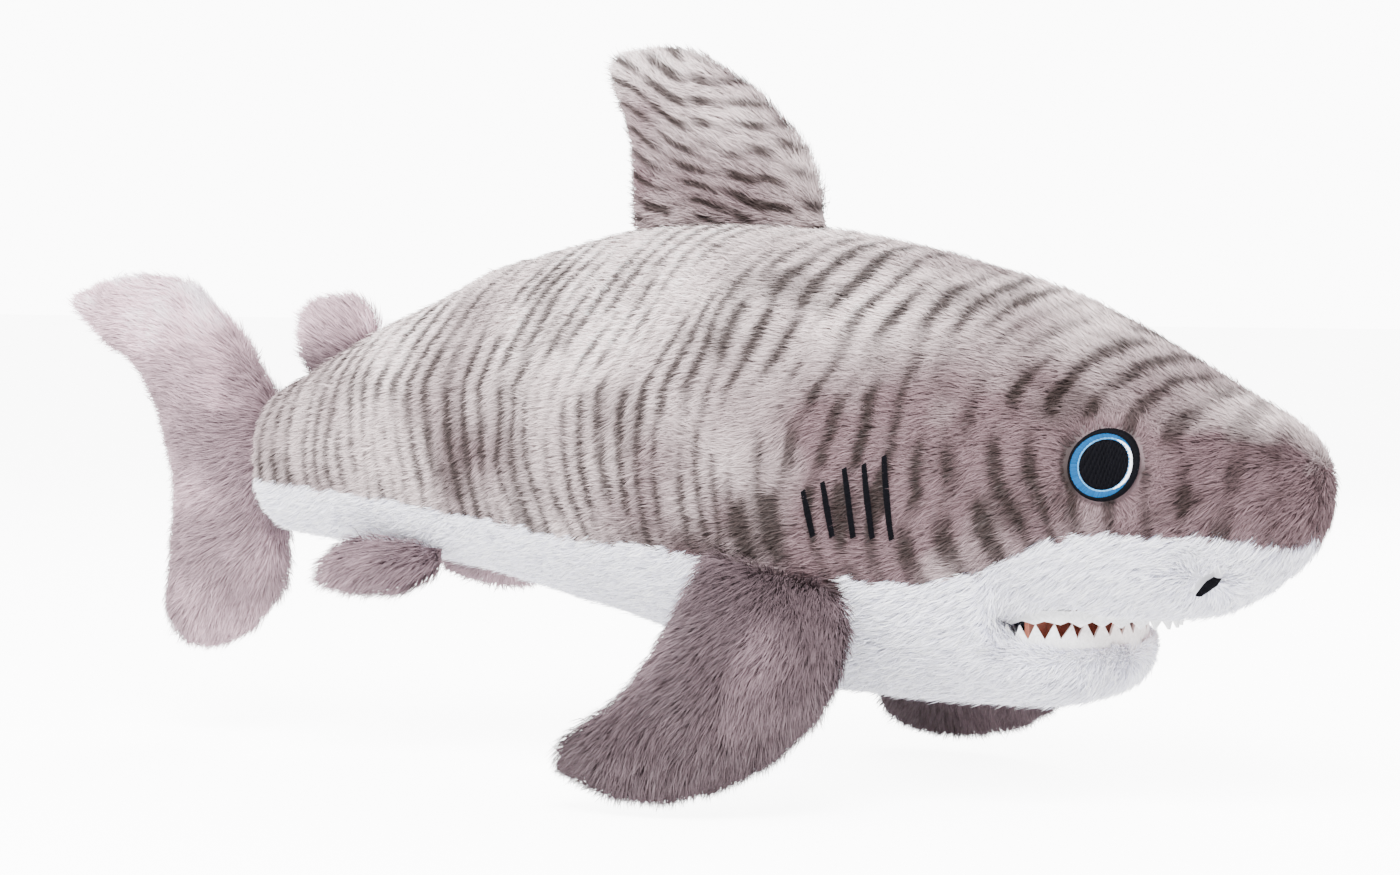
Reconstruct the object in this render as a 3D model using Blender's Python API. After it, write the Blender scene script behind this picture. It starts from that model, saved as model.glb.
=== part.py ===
"""A plush shark: sewn fabric panels over fibre filling, with fins that flop at their root seams.

Millimetres in the design values, metres in the meshes. +X points to the snout, +Z up and +Y to the
shark's left. The origin is the centre of the flat patch of belly that the toy rests on.
"""

import math

import bmesh
import bpy
from mathutils import Matrix, Vector

MM = 0.001
GAP = 0.3            # clearance between neighbouring pieces
FILL_GAP = 1.2       # clearance between the fibre and its panels
BODY_WALL = 3.0      # fabric and pile of the body panels
FIN_WALL = 1.6       # fabric and pile of the fin panels
PINCH = 0.4          # smallest half size of a section that closes on itself
CLOSED = 100.0       # an inset past any half size, which pinches a section shut
ROUNDNESS = 0.9      # exponent of a section's curve: 1 is an ellipse, less is boxier

# The body: along X, the ridge, the half width, the height of the widest point, and the height of
# the seam between the striped back and the white underside.
BODY_ROWS = (
    (-213, 72.0, 16.5, 55.0, 50.5),
    (-208, 77.0, 20.5, 56.0, 50.0),
    (-195, 83.0, 22.5, 57.0, 49.5),
    (-170, 95.0, 27.5, 61.0, 47.5),
    (-135, 109.5, 36.5, 64.0, 43.5),
    (-95, 119.0, 46.0, 64.0, 39.5),
    (-55, 121.0, 51.5, 61.0, 38.0),
    (-15, 116.5, 53.0, 57.5, 33.0),
    (15, 109.0, 52.0, 54.0, 31.5),
    (35, 102.5, 49.0, 52.5, 36.5),
    (50, 95.5, 45.5, 54.0, 43.5),
    (65, 87.5, 40.0, 54.5, 46.0),
    (78, 80.0, 33.5, 54.5, 45.0),
    (89, 73.5, 26.0, 54.0, 44.0),
    (97, 67.5, 18.5, 53.5, 43.0),
    (102, 62.0, 11.0, 53.0, 44.5),
    (104.5, 57.5, 4.5, 52.5, 49.0),
)
RIDGE, HALF_WIDTH, WIDEST, SEAM = 1, 2, 3, 4

# The underside: behind the mouth it is the belly, in front of it the snout's underside.
BELLY_ROWS = (
    (-213, 38.5),
    (-208, 34.5),
    (-170, 32.0),
    (-135, 27.0),
    (-95, 18.5),
    (-60, 8.0),
    (-32, -0.6),
    (35, -0.9),
)
SNOUT_ROWS = ((35, 22.0), (60, 22.0), (78, 24.5), (89, 30.0), (97, 36.0), (102, 42.0), (104.5, 48.0))

BACK_POINTS = 9      # from the ridge to a seam
ARC_POINTS = 8       # from a seam to the middle of the underside
FILL_POINTS = 10     # of the filling, from the ridge to the middle of the underside
TRUNK_STATIONS = (-213, -208, -195, -170, -135, -95, -60, -32, -5, 20, 35)
HEAD_STATIONS = (50, 65, 78, 89, 97, 102, 104.5)

# The mouth: a U in plan, open to the front, between the lips of the snout and of the jaw.
MOUTH_CORNER = 35
JAW_LIP, JAW_HALF_WIDTH, JAW_REACH, JAW_CHIN = 16.5, 33.0, 20.0, 9.0
JAW_SHARES = (0.02, 0.2, 0.45, 0.7, 0.88, 0.97, 0.999)
SNOUT_LIP, PALATE_HALF_WIDTH, PALATE_REACH = 22.0, 28.0, 27.0
LINING = 1.2
LINING_RINGS, LINING_EDGE, LINING_LEDGE = 13, 0.5, 3.0   # sections, and its narrowest parts
PALATE_POINTS, MOUTH_MARGIN = 17, 5.0   # of the opening cut in the muzzle, and the cut's overshoot
TOOTH_COUNT, TOOTH_DEPTH, FELT = 14, 2.3, 0.8
TOOTH_HEEL = 0.6     # felt left uncut above the teeth

# Embroidery: raised satin stitch.
STITCH_LOW, STITCH_HIGH = 0.5, 1.5
EYE_AT, EYE_RADIUS, EYE_POINTS = (62.5, 61.5), 9.0, 20
EYE_BACK, EYE_FRONT = (0.08, 0.5, 1.0), (0.97, 0.5, 0.08)   # its rings, as shares of the radius
GILL_TOPS = ((-12.0, 54.0), (-6.5, 56.5), (-0.5, 60.0), (5.0, 61.0), (10.5, 63.0))
GILL_FOOT, GILL_LEAN, GILL_WIDTH = 43.5, 2.0, 1.6
NOSTRIL_FROM, NOSTRIL_TO = (79.0, 32.0), (83.0, 36.0)
BAR_STATIONS = 5     # along a gill slit or a nostril
PROBE = 0.5          # step that finds the skin's slope

# Fins: each station is the front edge, the rear edge (along the chord, along the span) and the
# thickness. The dorsal fins and the tail fin stand in the middle plane, in the body's own X and Z.
CHORD_POINTS = 7
DORSAL = (
    ((-36, 124.0), (-93, 123.5), 5),
    ((-37, 129.0), (-93, 129.0), 14),
    ((-45, 141.0), (-94, 140.0), 17),
    ((-56, 152.0), (-98, 150.5), 15),
    ((-68, 160.0), (-102, 158.0), 11),
    ((-77, 165.0), (-99, 163.5), 5),
)
SECOND_DORSAL = (
    ((-182, 90.0), (-203, 81.5), 4),
    ((-183, 94.5), (-206, 87.0), 9),
    ((-188, 98.0), (-206, 93.0), 8),
    ((-194, 98.5), (-203, 96.0), 4),
)
CAUDAL = (
    ((-236, 5), (-250, 7), 5),
    ((-223, 11), (-253, 15), 13),
    ((-216.5, 22), (-250, 27), 17),
    ((-216.5, 36), (-247, 40), 20),
    ((-216.5, 53), (-247, 52), 22),
    ((-217, 71), (-252, 66), 22),
    ((-227, 87), (-258, 76), 19),
    ((-244, 101), (-264, 82), 16),
    ((-261, 103.5), (-270, 83.5), 14),
    ((-278, 101), (-276, 88), 10),
    ((-288, 98), (-284, 93), 5),
)
# The paired fins lie in their own planes: chord forwards from the hinge, span outwards from it.
PECTORAL = (
    ((20, 2.5), (-20, 2.5), 4),
    ((24.5, 9), (-20, 8), 12),
    ((28, 21), (-19, 19), 15),
    ((27.5, 32), (-20, 30), 16),
    ((22.5, 43), (-23, 40), 15),
    ((12, 54), (-29, 48.5), 13),
    ((-2, 61.5), (-33.5, 55.5), 10),
    ((-16, 64), (-33.5, 61), 5),
)
PELVIC = (
    ((17, 2), (-16, 2), 3),
    ((18, 6.5), (-19, 6), 8),
    ((13, 14), (-20, 12), 8),
    ((3, 19), (-17, 17), 4),
)

DORSAL_HINGE = (-65, 0, 121.5)
SECOND_DORSAL_HINGE, SECOND_DORSAL_LEAN = (-193, 0, 84), 14
CAUDAL_HINGE = (-214.5, 0, 55)
PECTORAL_HINGE, PECTORAL_DROP, PECTORAL_RAKE = (-21.5, 50.5, 34.5), 60, 11
PELVIC_HINGE, PELVIC_DROP, PELVIC_RAKE = (-158, 19.0, 34.5), 42, 5

# Colours and roughness of the materials.
MATERIALS = {
    "striped_pile": ((0.50, 0.44, 0.43), 0.9),
    "white_pile": ((0.86, 0.86, 0.88), 0.9),
    "mauve_pile": ((0.36, 0.30, 0.32), 0.9),
    "mouth_fabric": ((0.60, 0.27, 0.20), 0.85),
    "white_felt": ((0.90, 0.90, 0.90), 0.95),
    "black_thread": ((0.02, 0.02, 0.022), 0.45),
    "eye_thread": ((0.10, 0.32, 0.55), 0.45),
    "fibre": ((0.92, 0.92, 0.90), 1.0),
}


def clear_scene():
    """Remove every object that the file opened with."""
    for found in list(bpy.data.objects):
        bpy.data.objects.remove(found, do_unlink=True)


def new_collection(name):
    """A collection linked to the scene."""
    made = bpy.data.collections.new(name)
    bpy.context.scene.collection.children.link(made)
    return made


def material(name):
    """A Principled material with the colour and roughness of the table."""
    found = bpy.data.materials.get(name)
    if found:
        return found
    colour, roughness = MATERIALS[name]
    made = bpy.data.materials.new(name)
    made.use_nodes = True
    shader = made.node_tree.nodes["Principled BSDF"]
    shader.inputs["Base Color"].default_value = (*colour, 1.0)
    shader.inputs["Roughness"].default_value = roughness
    shader.inputs["Metallic"].default_value = 0.0
    return made


# ---------------------------------------------------------------- curves through the design rows


def smooth_value(rows, x, column):
    """The column's value at x, on a smooth curve through the rows (Catmull-Rom with uneven steps)."""
    last = len(rows) - 1
    x = min(max(x, rows[0][0]), rows[last][0])
    start = 0
    while start < last - 1 and x > rows[start + 1][0]:
        start += 1
    slopes = []
    for index in (start, start + 1):
        before, after = max(index - 1, 0), min(index + 1, last)
        run = rows[after][0] - rows[before][0]
        slopes.append((rows[after][column] - rows[before][column]) / run)
    step = rows[start + 1][0] - rows[start][0]
    t = (x - rows[start][0]) / step
    return (
        rows[start][column] * (2 * t**3 - 3 * t**2 + 1)
        + rows[start + 1][column] * (3 * t**2 - 2 * t**3)
        + slopes[0] * step * (t**3 - 2 * t**2 + t)
        + slopes[1] * step * (t**3 - t**2)
    )


def inner_inset(x):
    """Inset of the panels' inner face: the wall, or at the tail's end all the way, which closes it."""
    return BODY_WALL if x > TRUNK_STATIONS[0] else CLOSED


def underside(x, snout):
    """Height of the snout's underside or of the belly."""
    return smooth_value(SNOUT_ROWS if snout else BELLY_ROWS, x, 1)


def ease(value):
    """A section's curve: the sine or cosine with its size raised to ROUNDNESS."""
    return math.copysign(abs(value) ** ROUNDNESS, value)


def section_point(x, angle, inset, side, snout):
    """A point of the body's section at x, inset from the skin. Angle 0 is the ridge, pi the underside."""
    widest = smooth_value(BODY_ROWS, x, WIDEST)
    half_width = max(smooth_value(BODY_ROWS, x, HALF_WIDTH) - inset, PINCH)
    if math.cos(angle) >= 0:
        height = smooth_value(BODY_ROWS, x, RIDGE) - widest
    else:
        height = widest - underside(x, snout)
    height = max(height - inset, PINCH)
    z = max(widest + height * ease(math.cos(angle)), min(inset, BODY_WALL))
    return Vector((x, side * half_width * ease(math.sin(angle)), z))


def seam_angle(x, snout):
    """The angle at which the section at x crosses the colour seam."""
    widest = smooth_value(BODY_ROWS, x, WIDEST)
    drop = (widest - smooth_value(BODY_ROWS, x, SEAM)) / (widest - underside(x, snout))
    return math.acos(-(drop ** (1 / ROUNDNESS)))


def skin_point(x, z, side, outset):
    """The point of the skin at x and height z, moved out along the skin's normal."""

    def on_skin(at_x, at_z):
        widest = smooth_value(BODY_ROWS, at_x, WIDEST)
        snout = at_x > MOUTH_CORNER
        if at_z >= widest:
            share = (at_z - widest) / (smooth_value(BODY_ROWS, at_x, RIDGE) - widest)
        else:
            share = (at_z - widest) / (widest - underside(at_x, snout))
        angle = math.acos(math.copysign(abs(share) ** (1 / ROUNDNESS), share))
        return section_point(at_x, angle, 0, side, snout)

    here = on_skin(x, z)
    along = on_skin(x + PROBE, z) - here
    across = on_skin(x, z + PROBE) - here
    normal = along.cross(across).normalized()
    if normal.y * side < 0:
        normal.negate()
    return here + normal * outset


# ------------------------------------------------------------------------------- mesh builders


class Builder:
    """Makes the objects of one collection, each with its material, under an optional parent."""

    def __init__(self, collection):
        self.collection = collection

    def add(self, name, points, faces, material_name, parent=None):
        """One object from points in millimetres, in the parent's frame where there is one."""
        mesh = bpy.data.meshes.new(name)
        mesh.from_pydata([tuple(p * MM for p in point) for point in points], [], faces)
        shape = bmesh.new()
        shape.from_mesh(mesh)
        bmesh.ops.recalc_face_normals(shape, faces=shape.faces)
        if shape.calc_volume(signed=True) < 0:
            bmesh.ops.reverse_faces(shape, faces=shape.faces)
        shape.to_mesh(mesh)
        shape.free()
        mesh.shade_smooth()
        mesh.materials.append(material(material_name))
        made = bpy.data.objects.new(name, mesh)
        made.parent = parent
        self.collection.objects.link(made)
        return made

    def shell(self, name, outer, inner, material_name, parent=None):
        """A panel with thickness: two grids of points with the same rows and columns, and their rims."""
        rows, columns = len(outer), len(outer[0])
        points = [p for grid in (outer, inner) for row in grid for p in row]
        back = rows * columns

        def at(row, column, layer):
            return layer * back + row * columns + column

        faces = []
        for row in range(rows - 1):
            for column in range(columns - 1):
                for layer in (0, 1):
                    faces.append((
                        at(row, column, layer),
                        at(row, column + 1, layer),
                        at(row + 1, column + 1, layer),
                        at(row + 1, column, layer),
                    ))
        border = [(0, column) for column in range(columns)]
        border += [(row, columns - 1) for row in range(1, rows)]
        border += [(rows - 1, column) for column in range(columns - 2, -1, -1)]
        border += [(row, 0) for row in range(rows - 2, 0, -1)]
        for here, there in zip(border, border[1:] + border[:1]):
            faces.append((at(*here, 0), at(*there, 0), at(*there, 1), at(*here, 1)))
        return self.add(name, points, faces, material_name, parent)

    def loft(self, name, rings, material_name, parent=None):
        """A closed solid through rings of points, with a flat cap on each end."""
        size = len(rings[0])
        points = [p for ring in rings for p in ring]
        faces = [tuple(range(size)), tuple(range(len(points) - size, len(points)))]
        for start in range(0, len(points) - size, size):
            for index in range(size):
                follow = (index + 1) % size
                faces.append((start + index, start + follow, start + size + follow, start + size + index))
        return self.add(name, points, faces, material_name, parent)

    def empty(self, name, hinge, axes):
        """An empty on a hinge, whose local X, Y and Z are the chord, the normal and the span."""
        made = bpy.data.objects.new(name, None)
        made.matrix_world = Matrix.Translation(Vector(hinge) * MM) @ Matrix(axes).transposed().to_4x4()
        self.collection.objects.link(made)
        return made


def spread(start, end, count):
    """Evenly spaced values from start to end, both included."""
    return [start + (end - start) * index / (count - 1) for index in range(count)]


# --------------------------------------------------------------------------------- body pieces


def back_panels(build):
    """The striped panels, from the tail root to the tip of the snout, parted along the ridge."""
    stations = [(x, x > MOUTH_CORNER) for x in TRUNK_STATIONS + HEAD_STATIONS]
    for side, name in ((1, "back_panel_left"), (-1, "back_panel_right")):
        grids = []
        for inner in (False, True):
            grid = []
            for x, snout in stations:
                inset = inner_inset(x) if inner else 0
                row = []
                for angle in spread(0, seam_angle(x, snout), BACK_POINTS):
                    point = section_point(x, angle, inset, side, snout)
                    row.append(point + Vector((0, side * GAP / 2, 0)))
                row[-1].z += GAP / 2
                grid.append(row)
            grids.append(grid)
        build.shell(name, *grids, "striped_pile")


def underside_row(x, inset, snout):
    """The white panel's arc at x, from the right seam under the body to the left seam."""
    angles = spread(seam_angle(x, snout), math.pi, ARC_POINTS)
    right = [section_point(x, angle, inset, -1, snout) for angle in angles]
    right[0].z -= GAP / 2
    left = [Vector((p.x, -p.y, p.z)) for p in reversed(right[:-1])]
    return right + left


def jaw_row(share, inset):
    """The jaw's arc at a share of its reach, from the right lip under the chin to the left lip."""
    x = MOUTH_CORNER + (JAW_REACH - inset) * share
    half_width = (JAW_HALF_WIDTH - inset) * math.sqrt(1 - share**2)
    depth = max(JAW_LIP - JAW_CHIN * share**3 - inset, PINCH)
    row = []
    for angle in spread(-math.pi / 2, math.pi / 2, 2 * ARC_POINTS - 1):
        z = max(JAW_LIP - depth * ease(math.cos(angle)), inset)
        row.append(Vector((x, half_width * ease(math.sin(angle)), z)))
    return row


def belly_panel(build):
    """The white panel under the trunk, which narrows at the mouth's corners to the lower jaw."""
    outer = [underside_row(x, 0, False) for x in TRUNK_STATIONS]
    inner = [underside_row(x, inner_inset(x), False) for x in TRUNK_STATIONS[:-1]]
    inner.append(underside_row(MOUTH_CORNER - BODY_WALL, BODY_WALL, False))
    outer += [jaw_row(share, 0) for share in JAW_SHARES]
    behind = Vector((BODY_WALL, 0, 0))
    inner.append([point - behind for point in jaw_row(JAW_SHARES[0], BODY_WALL)])
    inner += [jaw_row(share, BODY_WALL) for share in JAW_SHARES[1:]]
    build.shell("belly_panel", outer, inner, "white_pile")


def mouth_outline(half_width, reach, count):
    """Points of a U in plan, from the right corner of the mouth round its front to the left corner."""
    points = []
    for angle in spread(-math.pi / 2, math.pi / 2, count):
        points.append((MOUTH_CORNER + reach * math.cos(angle), half_width * math.sin(angle)))
    return points


def muzzle_panel(build, cutters):
    """The white panel round the cheeks and under the snout, open over the mouth."""
    start = MOUTH_CORNER + 3 * GAP
    stations = (start, *HEAD_STATIONS)
    grids = [[underside_row(x, inset, True) for x in stations] for inset in (0, BODY_WALL)]
    panel = build.shell("muzzle_panel", *grids, "white_pile")
    plan = mouth_outline(PALATE_HALF_WIDTH, PALATE_REACH, PALATE_POINTS)
    behind = MOUTH_CORNER - MOUTH_MARGIN
    plan += [(behind, PALATE_HALF_WIDTH), (behind, -PALATE_HALF_WIDTH)]
    low, high = SNOUT_LIP - MOUTH_MARGIN, SNOUT_LIP + MOUTH_MARGIN
    rings = [[Vector((x, y, z)) for x, y in plan] for z in (low, high)]
    cutter = cutters.loft("mouth_cutter", rings, "white_pile")
    cutter.hide_render = True
    cutter.display_type = "WIRE"
    cut = panel.modifiers.new("mouth", "BOOLEAN")
    cut.operation = "DIFFERENCE"
    cut.object = cutter


def mouth_lining(build):
    """The mouth's pocket: a palate and a floor, each a U in plan, joined by a wall at the back."""
    half_width = PALATE_HALF_WIDTH - 2 * GAP
    back = MOUTH_CORNER + 4 * GAP
    floor_top, floor_foot = JAW_LIP - GAP, JAW_LIP - GAP - LINING
    palate_foot, palate_top = SNOUT_LIP + 2 * GAP, SNOUT_LIP + 2 * GAP + LINING
    rings = []
    for y in spread(-half_width + LINING_EDGE, half_width - LINING_EDGE, LINING_RINGS):
        bow = math.sqrt(1 - (y / half_width) ** 2)
        palate_front = max(MOUTH_CORNER + (PALATE_REACH - 2 * GAP) * bow, back + LINING_LEDGE)
        floor_front = max(MOUTH_CORNER + (JAW_REACH - BODY_WALL - 2 * GAP) * bow, back + LINING_LEDGE)
        outline = (
            (back, floor_foot),
            (floor_front, floor_foot),
            (floor_front, floor_top),
            (back + LINING, floor_top),
            (back + LINING, palate_foot),
            (palate_front, palate_foot),
            (palate_front, palate_top),
            (back, palate_top),
        )
        rings.append([Vector((x, y, z)) for x, z in outline])
    build.loft("mouth_lining", rings, "mouth_fabric")


def tooth_strip(build, name, half_width, reach, root, tip):
    """A felt strip round the lip, cut in a zigzag from its root to its tips."""
    plan = {}
    for layer, inset in enumerate((0, FELT)):
        plan[layer] = mouth_outline(half_width - inset, reach - inset, 2 * TOOTH_COUNT + 1)
    heel = root + math.copysign(TOOTH_HEEL, tip - root)
    rings = []
    for index in range(1, 2 * TOOTH_COUNT):
        end = tip if index % 2 else heel
        (x_out, y_out), (x_in, y_in) = plan[0][index], plan[1][index]
        rings.append([
            Vector((x_out, y_out, root)),
            Vector((x_out, y_out, end)),
            Vector((x_in, y_in, end)),
            Vector((x_in, y_in, root)),
        ])
    build.loft(name, rings, "white_felt")


def teeth(build):
    """The upper strip hangs inside the snout's lip, the lower one stands on the jaw's lip."""
    snout_root = SNOUT_LIP - GAP
    tooth_strip(
        build, "upper_teeth", PALATE_HALF_WIDTH + 1, PALATE_REACH + 1, snout_root, snout_root - TOOTH_DEPTH
    )
    jaw_root = JAW_LIP + GAP
    middle = BODY_WALL / 2
    tooth_strip(
        build,
        "lower_teeth",
        JAW_HALF_WIDTH - middle + FELT / 2,
        JAW_REACH - middle + FELT / 2,
        jaw_root,
        jaw_root + TOOTH_DEPTH,
    )


def body_filling(build):
    """The fibre inside the trunk and the head, stepped up over the mouth, and the fibre in the jaw."""
    inset = BODY_WALL + FILL_GAP
    step = MOUTH_CORNER - inset
    palate = SNOUT_LIP + BODY_WALL + FILL_GAP

    def ring(x, floor):
        snout = x > step
        right = [section_point(x, angle, inset, -1, snout) for angle in spread(0, math.pi, FILL_POINTS)]
        points = right + [Vector((p.x, -p.y, p.z)) for p in reversed(right[1:-1])]
        return [Vector((p.x, p.y, max(p.z, floor))) for p in points]

    rings = [ring(x, inset) for x in (*TRUNK_STATIONS[2:-1], step)]
    rings += [ring(x, palate) for x in (step + GAP, *HEAD_STATIONS[:-3])]
    build.loft("body_stuffing", rings, "fibre")

    top = JAW_LIP - LINING - 3 * GAP
    jaw_rings = []
    for share in JAW_SHARES[1:-2]:
        jaw_rings.append([Vector((p.x, p.y, min(p.z, top))) for p in jaw_row(share, inset)])
    build.loft("jaw_stuffing", jaw_rings, "fibre")


# ----------------------------------------------------------------------------------- embroidery


def stitched_eye(build, name, side):
    """A round embroidered patch that follows the head's curve."""
    rings = []
    for outset, shares in ((STITCH_LOW, EYE_BACK), (STITCH_HIGH, EYE_FRONT)):
        for share in shares:
            ring = []
            for index in range(EYE_POINTS):
                turn = 2 * math.pi * index / EYE_POINTS
                x = EYE_AT[0] + EYE_RADIUS * share * math.cos(turn)
                z = EYE_AT[1] + EYE_RADIUS * share * math.sin(turn)
                ring.append(skin_point(x, z, side, outset))
            rings.append(ring)
    build.loft(name, rings, "eye_thread")


def stitched_bar(build, name, start, end, width, side):
    """A bar of satin stitch on the skin, from start to end (each along X and up)."""
    grids = []
    for outset in (STITCH_HIGH, STITCH_LOW):
        grid = []
        for share in spread(0, 1, BAR_STATIONS):
            x = start[0] + (end[0] - start[0]) * share
            z = start[1] + (end[1] - start[1]) * share
            grid.append([skin_point(x + shift, z, side, outset) for shift in (-width / 2, width / 2)])
        grids.append(grid)
    build.shell(name, *grids, "black_thread")


def embroidery(build):
    """Eyes, gill slits and nostrils on both sides of the head."""
    for side, hand in ((1, "left"), (-1, "right")):
        stitched_eye(build, f"eye_{hand}", side)
        for number, (x, top) in enumerate(GILL_TOPS, 1):
            foot = (x + GILL_LEAN, GILL_FOOT)
            stitched_bar(build, f"gill_slit_{hand}_{number}", (x, top), foot, GILL_WIDTH, side)
        stitched_bar(build, f"nostril_{hand}", NOSTRIL_FROM, NOSTRIL_TO, GILL_WIDTH, side)


# ----------------------------------------------------------------------------------------- fins


def fin_row(station, origin, face, inset):
    """One chord of a fin panel, from the front edge to the rear edge, bulging to its face."""
    front, rear, thickness = station
    chord = Vector((front[0] - rear[0], front[1] - rear[1]))
    trim = chord.normalized() * inset
    start, end = Vector(front) - trim, Vector(rear) + trim
    bulge = max(thickness / 2 - inset, 0)
    row = []
    for index in range(CHORD_POINTS):
        turn = math.pi * index / (CHORD_POINTS - 1)
        along = start.lerp(end, (1 - math.cos(turn)) / 2)
        out = face * (GAP / 2 + bulge * math.sin(turn))
        row.append(Vector((along.x - origin[0], out, along.y - origin[1])))
    return row


def fin(build, names, stations, origin, parent, material_name):
    """Two panels that meet in a seam round the edge, and the fibre between them."""
    for face, name in ((1, names[0]), (-1, names[1])):
        grids = []
        for inset in (0, FIN_WALL):
            grids.append([fin_row(station, origin, face, inset) for station in stations])
        build.shell(name, *grids, material_name, parent)
    inset = FIN_WALL + FILL_GAP
    rings = []
    for station in stations[1:-1]:
        near = fin_row(station, origin, 1, inset)
        far = fin_row(station, origin, -1, inset)
        rings.append(near + far[-2:0:-1])
    build.loft(names[2], [tidy_ring(ring) for ring in rings], "fibre", parent)


def tidy_ring(ring):
    """Bring the two edge points of a fin's ring onto its middle plane."""
    for index in (0, CHORD_POINTS - 1):
        ring[index].y = 0
    return ring


def middle_fins(build):
    """The two dorsal fins and the tail fin, which stand in the body's middle plane."""
    for name, stations, hinge, lean, pile in (
        ("dorsal_fin", DORSAL, DORSAL_HINGE, 0, "striped_pile"),
        ("second_dorsal", SECOND_DORSAL, SECOND_DORSAL_HINGE, SECOND_DORSAL_LEAN, "mauve_pile"),
        ("caudal_fin", CAUDAL, CAUDAL_HINGE, 0, "mauve_pile"),
    ):
        turn = math.radians(lean)
        axes = ((1, 0, 0), (0, math.cos(turn), -math.sin(turn)), (0, math.sin(turn), math.cos(turn)))
        parent = build.empty(f"{name}_hinge", hinge, axes)
        names = [f"{name}_panel_left", f"{name}_panel_right", f"{name}_stuffing"]
        fin(build, names, stations, (hinge[0], hinge[2]), parent, pile)


def paired_fins(build):
    """The pectoral and pelvic fins, which hang out and down from the sides of the belly."""
    for name, stations, hinge, drop, rake in (
        ("pectoral", PECTORAL, PECTORAL_HINGE, PECTORAL_DROP, PECTORAL_RAKE),
        ("pelvic", PELVIC, PELVIC_HINGE, PELVIC_DROP, PELVIC_RAKE),
    ):
        for side, hand in ((1, "left"), (-1, "right")):
            fall, tilt = math.radians(drop), math.radians(rake)
            chord = Vector((math.cos(tilt), 0, -math.sin(tilt)))
            span = Vector((0, side * math.cos(fall), -math.sin(fall)))
            normal = span.cross(chord).normalized()
            span = chord.cross(normal)
            at = (hinge[0], side * hinge[1], hinge[2])
            parent = build.empty(f"{name}_{hand}_hinge", at, (chord, normal, span))
            faces = ("top", "bottom") if normal.z > 0 else ("bottom", "top")
            names = [f"{name}_{hand}_{face}" for face in faces] + [f"{name}_{hand}_stuffing"]
            fin(build, names, stations, (0, 0), parent, "mauve_pile")


def main():
    """Build the whole toy."""
    clear_scene()
    build = Builder(new_collection("plush_shark"))
    cutters = Builder(new_collection("cutters"))
    back_panels(build)
    belly_panel(build)
    muzzle_panel(build, cutters)
    mouth_lining(build)
    teeth(build)
    body_filling(build)
    embroidery(build)
    middle_fins(build)
    paired_fins(build)


main()
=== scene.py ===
"""The looks of the plush shark: puffed fabric skins, pile grown as real strands, and embroidery.

Lengths are in metres, in the frame's own coordinates: +X to the snout, +Y to the shark's left, +Z up.
"""

import math

import bmesh
import bpy
import numpy as np
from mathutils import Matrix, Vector
from mathutils.bvhtree import BVHTree


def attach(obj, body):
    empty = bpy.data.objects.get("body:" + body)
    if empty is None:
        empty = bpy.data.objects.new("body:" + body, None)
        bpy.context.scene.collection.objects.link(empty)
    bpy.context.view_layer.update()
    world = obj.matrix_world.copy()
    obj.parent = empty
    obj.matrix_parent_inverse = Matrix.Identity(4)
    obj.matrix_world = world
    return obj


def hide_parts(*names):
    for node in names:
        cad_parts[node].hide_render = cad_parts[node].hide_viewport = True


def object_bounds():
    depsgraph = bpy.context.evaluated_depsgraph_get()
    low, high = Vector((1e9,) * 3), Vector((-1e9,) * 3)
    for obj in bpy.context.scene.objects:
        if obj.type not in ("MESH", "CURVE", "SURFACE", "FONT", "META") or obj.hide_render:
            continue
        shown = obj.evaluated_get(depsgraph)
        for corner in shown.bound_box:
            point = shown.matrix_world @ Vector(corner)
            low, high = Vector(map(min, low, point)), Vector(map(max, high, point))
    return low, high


MM = 0.001

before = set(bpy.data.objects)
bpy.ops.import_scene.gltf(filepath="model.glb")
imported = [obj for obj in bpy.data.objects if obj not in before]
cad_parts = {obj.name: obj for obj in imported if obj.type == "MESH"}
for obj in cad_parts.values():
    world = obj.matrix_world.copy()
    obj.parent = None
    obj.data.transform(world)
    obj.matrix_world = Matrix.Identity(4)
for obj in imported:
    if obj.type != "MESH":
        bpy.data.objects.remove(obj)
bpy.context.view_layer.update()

# ---- driving values ----

BODY_VOXEL, FIN_VOXEL = 2.7 * MM, 2.3 * MM
SMOOTHING = 5  # rounds that take off the facets and the voxel steps
SHRINK = 1.5 * MM  # how far a skin starts inside its CAD panels before it is puffed
PUFF_CAP = 2.6 * MM  # how far the pressure may move a point
PRESSURE, PUFF_FRAMES = 4.0, 20
SEAM_HALF_WIDTH = 2.2 * MM  # fabric this near a seam is held down while the rest puffs
LUMP, LUMP_SIZE = 1.0 * MM, 26 * MM  # unevenness of the stuffing: its height and its width
FIN_STRETCH = 3.2 * MM  # makes up for what smoothing takes off a fin's outline

BODY_DENSITY, FIN_DENSITY = 7.0, 7.4  # strands on each square millimetre
STRANDS_PER_PIECE = 62000
BODY_PILE, WHITE_LENGTH = 4.5 * MM, 4.6 * MM
FIN_PILE, DORSAL_PILE, FOLD_PILE = 6.6 * MM, 5.2 * MM, 5 * MM
BODY_LIFT, WHITE_LIFT, FIN_LIFT = math.radians(25), math.radians(34), math.radians(36)
STRAND_WIDTH = 0.27 * MM
LENGTHS, LIFTS, WIDTHS = (0.72, 1.12), (0.5, 1.25), (0.75, 1.25)  # ranges, as shares of the usual
ROLL = 0.9  # how far a strand's flat side may turn, in radians
TIP_LIFT = 0.3  # the lift of a strand's outer half, as a share of the inner half's
ROOT_DEPTH = 0.4 * MM  # how far under the skin a strand starts
GATHER, TUFT_SIZE = 0.42 * MM, 2.6 * MM  # how far the tips draw together into tufts, and their size
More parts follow.
